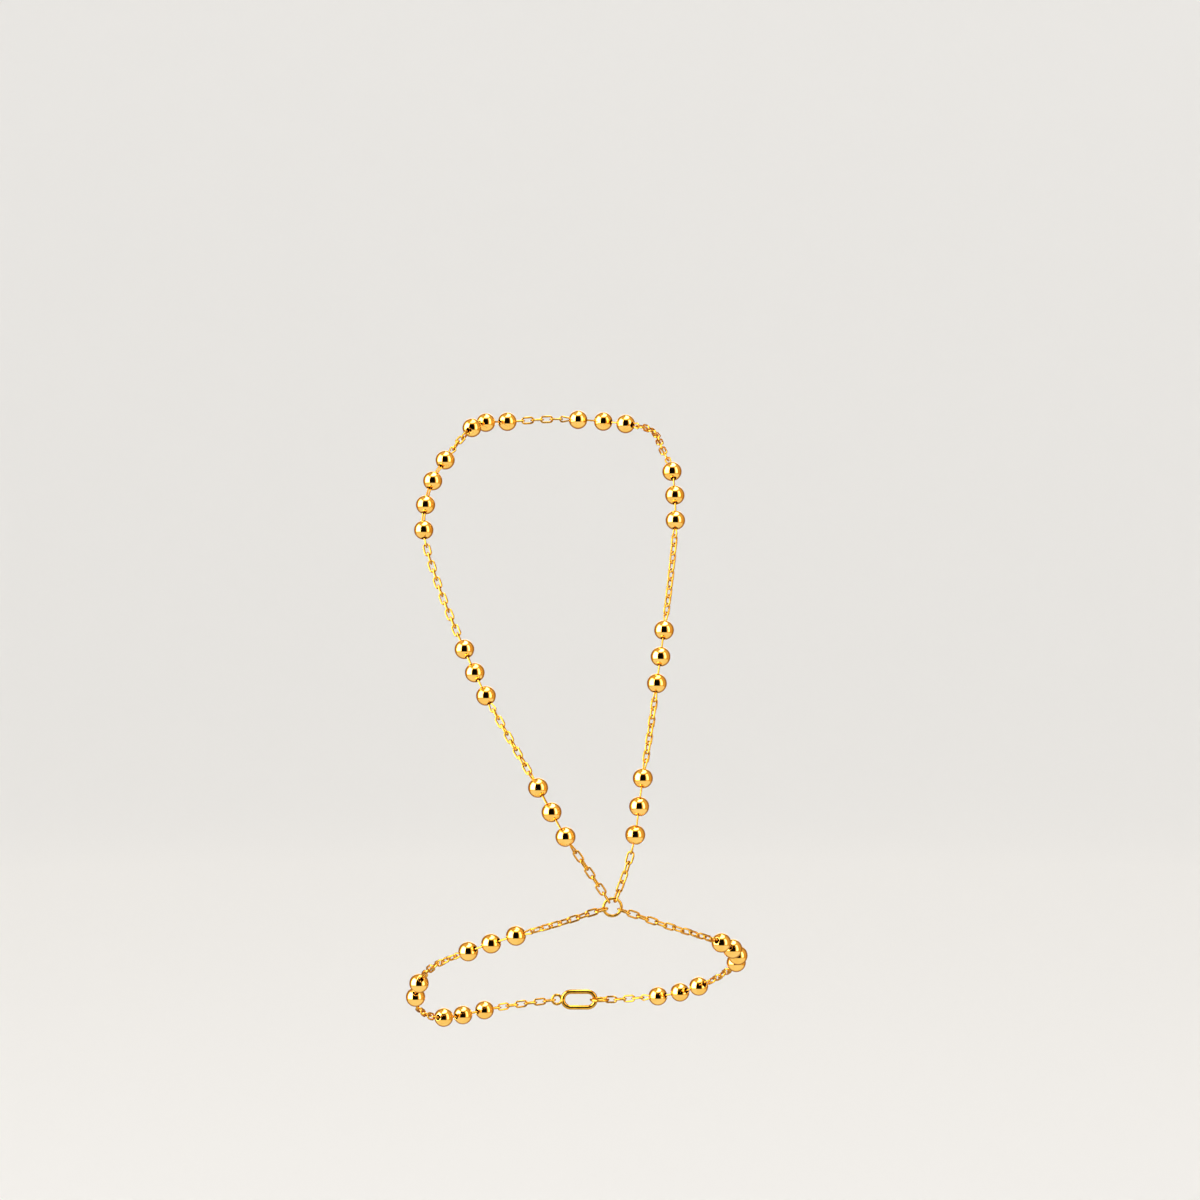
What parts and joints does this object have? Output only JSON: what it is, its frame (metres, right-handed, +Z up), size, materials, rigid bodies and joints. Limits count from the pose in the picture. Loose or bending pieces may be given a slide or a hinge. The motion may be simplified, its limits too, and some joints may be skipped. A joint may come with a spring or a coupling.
{
  "type": "hand chain bracelet",
  "caption": "Gold-coloured hand chain: a cable-chain wrist loop with groups of ball beads, and a second beaded loop that rises from a jump ring and passes round two fingers.",
  "frame": {"origin": "on the middle line of the wrist, at the height of the wrist loop, where the bracelet sits", "axes": "+Z up along the forearm towards the fingers, the back of the hand faces -Y, the thumb is on the -X side"},
  "size_m": [0.0708, 0.0606, 0.1308],
  "materials": {
    "gold": "polished"
  },
  "bodies": {
    "root": {"jump_ring": "gold", "clasp": "gold", "catch_ring": "gold", "thumb_strand_links": "gold", "palm_loop_links": "gold", "finger_strand_links": "gold", "wrist_near_links": "gold", "wrist_far_links": "gold", "thumb_strand_pins": "gold", "palm_loop_pins": "gold", "finger_strand_pins": "gold", "wrist_near_pins": "gold", "wrist_far_pins": "gold", "thumb_strand_bead_1": "gold", "thumb_strand_bead_2": "gold", "thumb_strand_bead_3": "gold", "thumb_strand_bead_4": "gold", "thumb_strand_bead_5": "gold", "thumb_strand_bead_6": "gold", "thumb_strand_bead_7": "gold", "thumb_strand_bead_8": "gold", "thumb_strand_bead_9": "gold", "thumb_strand_bead_10": "gold", "palm_loop_bead_1": "gold", "palm_loop_bead_2": "gold", "palm_loop_bead_3": "gold", "palm_loop_bead_4": "gold", "palm_loop_bead_5": "gold", "palm_loop_bead_6": "gold", "finger_strand_bead_1": "gold", "finger_strand_bead_2": "gold", "finger_strand_bead_3": "gold", "finger_strand_bead_4": "gold", "finger_strand_bead_5": "gold", "finger_strand_bead_6": "gold", "finger_strand_bead_7": "gold", "finger_strand_bead_8": "gold", "finger_strand_bead_9": "gold", "wrist_near_bead_1": "gold", "wrist_near_bead_2": "gold", "wrist_near_bead_3": "gold", "wrist_near_bead_4": "gold", "wrist_near_bead_5": "gold", "wrist_near_bead_6": "gold", "wrist_near_bead_7": "gold", "wrist_near_bead_8": "gold", "wrist_far_bead_1": "gold", "wrist_far_bead_2": "gold", "wrist_far_bead_3": "gold", "wrist_far_bead_4": "gold", "wrist_far_bead_5": "gold", "wrist_far_bead_6": "gold", "wrist_far_bead_7": "gold"}
  },
  "joints": []
}
